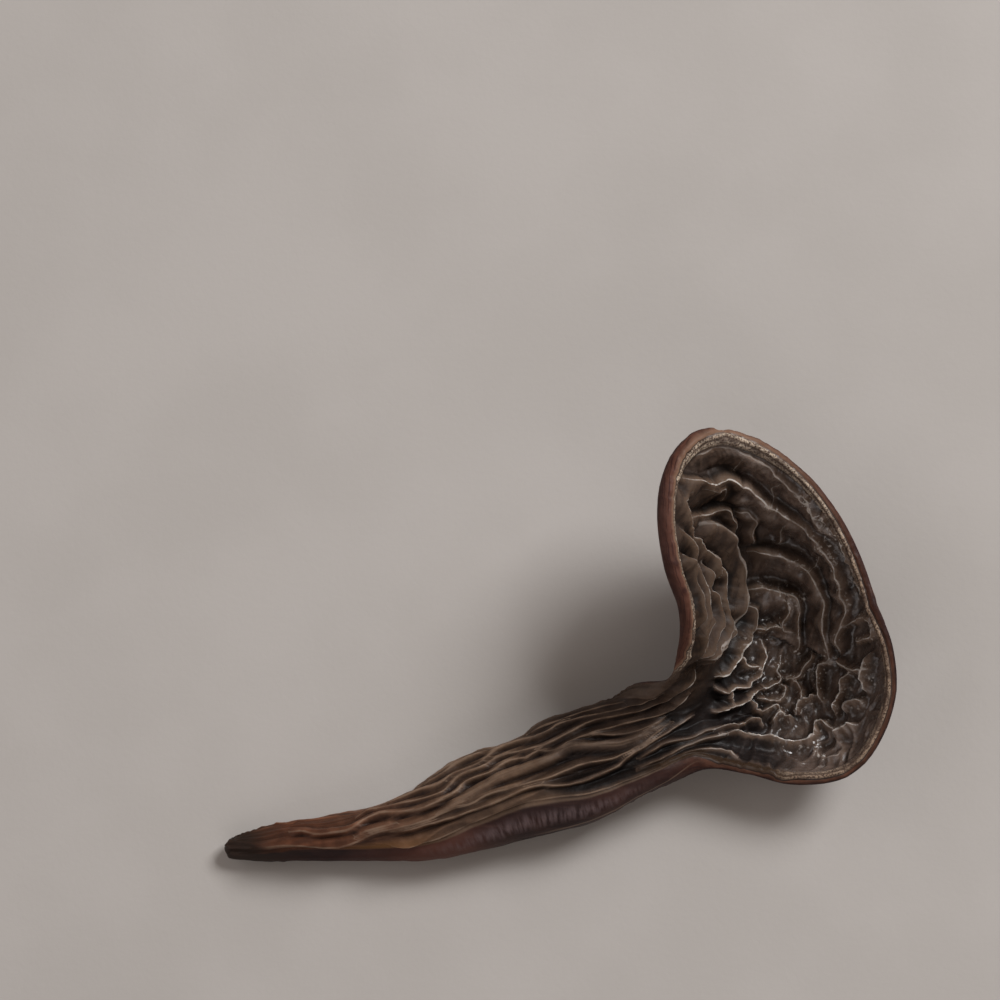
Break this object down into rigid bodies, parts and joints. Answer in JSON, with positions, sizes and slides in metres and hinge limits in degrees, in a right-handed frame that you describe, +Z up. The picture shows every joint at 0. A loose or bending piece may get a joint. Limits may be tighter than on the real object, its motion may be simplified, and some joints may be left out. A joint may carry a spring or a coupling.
{
  "type": "dried wood ear mushroom",
  "caption": "Long-stalked ear-shaped fungus lying on its belly, its deep cup ruffled inside and its stalk ridged lengthwise.",
  "frame": {"origin": "on the flat patch under the cup's belly, which rests on the surface", "axes": "+X from the stalk's tip towards the cup, +Y towards the raised far side of the cup, +Z up from the surface it rests on"},
  "size_m": [0.105, 0.0647, 0.0327],
  "materials": {
    "dried_flesh": "dark grey-brown gelatinous inner face with glossy crests, reddish-brown velvety outer face, tan crust along the margin"
  },
  "bodies": {
    "root": {"fruiting_body": "dried_flesh"}
  },
  "joints": []
}
